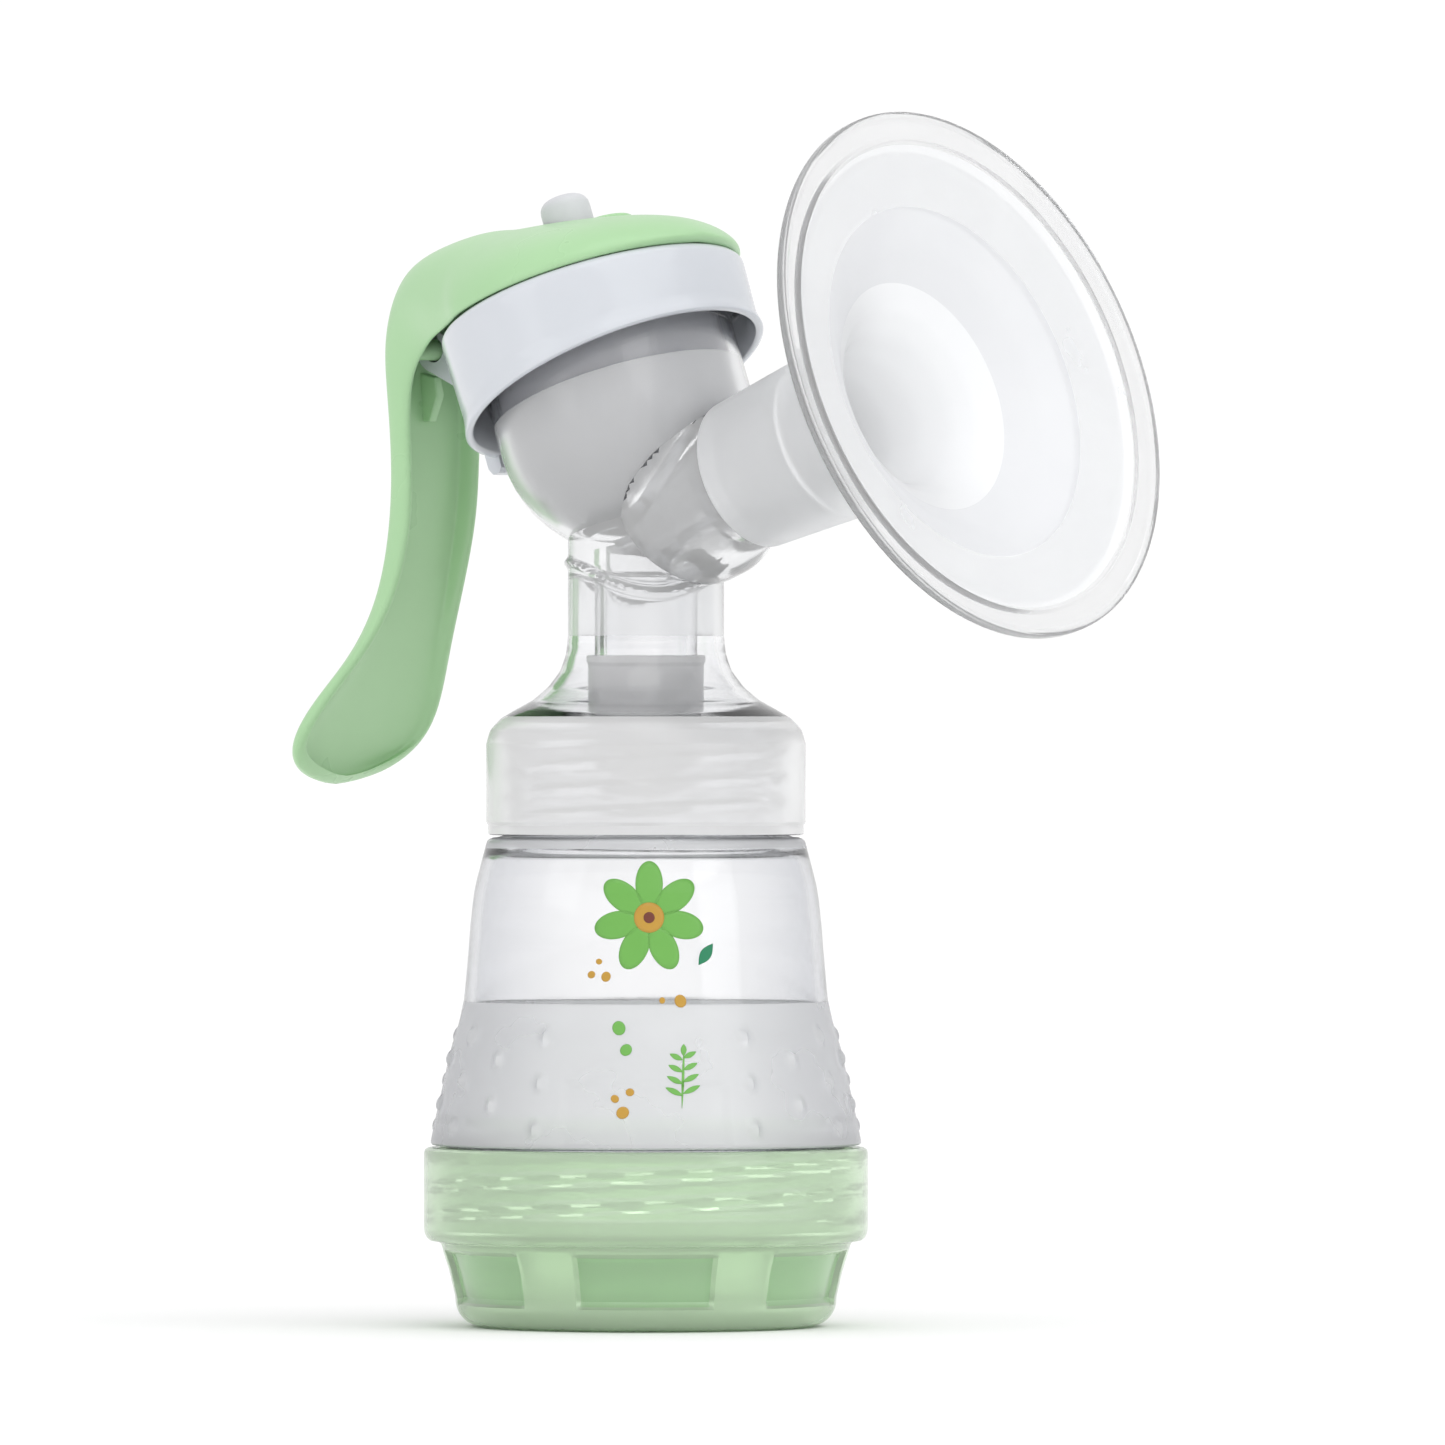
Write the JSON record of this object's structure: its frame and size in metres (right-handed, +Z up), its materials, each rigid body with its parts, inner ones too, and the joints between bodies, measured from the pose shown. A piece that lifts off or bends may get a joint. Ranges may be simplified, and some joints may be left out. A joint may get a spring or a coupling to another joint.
{
  "type": "breast pump",
  "caption": "Manual breast pump: screw-base bottle, clear pump body with a membrane chamber, tilted lid, squeeze handle and soft funnel.",
  "frame": {"origin": "centre of the base cup's underside, on the bottle's axis, on the surface the pump stands on", "axes": "+Z up along the bottle, +X towards the funnel, the lever hangs on the -X side; the XZ plane is the symmetry plane"},
  "size_m": [0.1429, 0.0842, 0.1854],
  "materials": {
    "green_tinted_plastic": "translucent green polypropylene, glossy moulded",
    "clear_plastic": "clear polypropylene, glossy with frosted grip zones",
    "clear_silicone": "milky clear silicone, satin",
    "grey_silicone": "grey silicone, satin",
    "white_plastic": "cool white polypropylene, glossy",
    "green_plastic": "opaque light green polypropylene, soft gloss"
  },
  "bodies": {
    "base": {"base_cup": "green_tinted_plastic"},
    "vent": {"vent_valve": "clear_silicone"},
    "bottle": {"bottle": "clear_plastic"},
    "duckbill": {"milk_valve": "clear_silicone"},
    "pump": {"pump_body": "clear_plastic", "funnel": "clear_silicone"},
    "lid": {"lid": "white_plastic", "membrane": "grey_silicone"},
    "stem": {"membrane_stem": "grey_silicone"},
    "handle": {"handle": "green_plastic"}
  },
  "joints": [
    {"name": "vent_rise", "type": "slide", "parent": "base", "child": "vent", "axis": [0, 0, 1], "range_m": [0, 0.003]},
    {"name": "base_unscrew", "type": "hinge", "parent": "vent", "child": "bottle", "pos_m": [0, 0, 0], "axis": [0, 0, 1], "range_deg": [0, 120]},
    {"name": "valve_rise", "type": "slide", "parent": "bottle", "child": "duckbill", "axis": [0, 0, 1], "range_m": [0, 0.00187]},
    {"name": "pump_unscrew", "type": "hinge", "parent": "duckbill", "child": "pump", "pos_m": [0, 0, 0.08], "axis": [0, 0, 1], "range_deg": [0, 90]},
    {"name": "lid_swivel", "type": "hinge", "parent": "pump", "child": "lid", "pos_m": [0.0015, 0, 0.1242], "axis": [-0.3502, 0, 0.9367], "range_deg": [-90, 90]},
    {"name": "handle_squeeze", "type": "hinge", "parent": "lid", "child": "handle", "pos_m": [-0.0402, 0, 0.1505], "axis": [0, -1, 0], "range_deg": [0, 19]},
    {"name": "stem_lift", "type": "slide", "parent": "lid", "child": "stem", "axis": [-0.3502, 0, 0.9367], "range_m": [0, 0.0114], "stiffness_N_per_m": 1200, "springref_m": -0.0015, "deforming": ["membrane"]}
  ],
  "couplings": [
    {"joint": "base_unscrew", "follows": "vent_rise", "rad_per_m": 698},
    {"joint": "pump_unscrew", "follows": "valve_rise", "rad_per_m": 837.5},
    {"joint": "handle_squeeze", "follows": "stem_lift", "rad_per_m": 28.986}
  ]
}
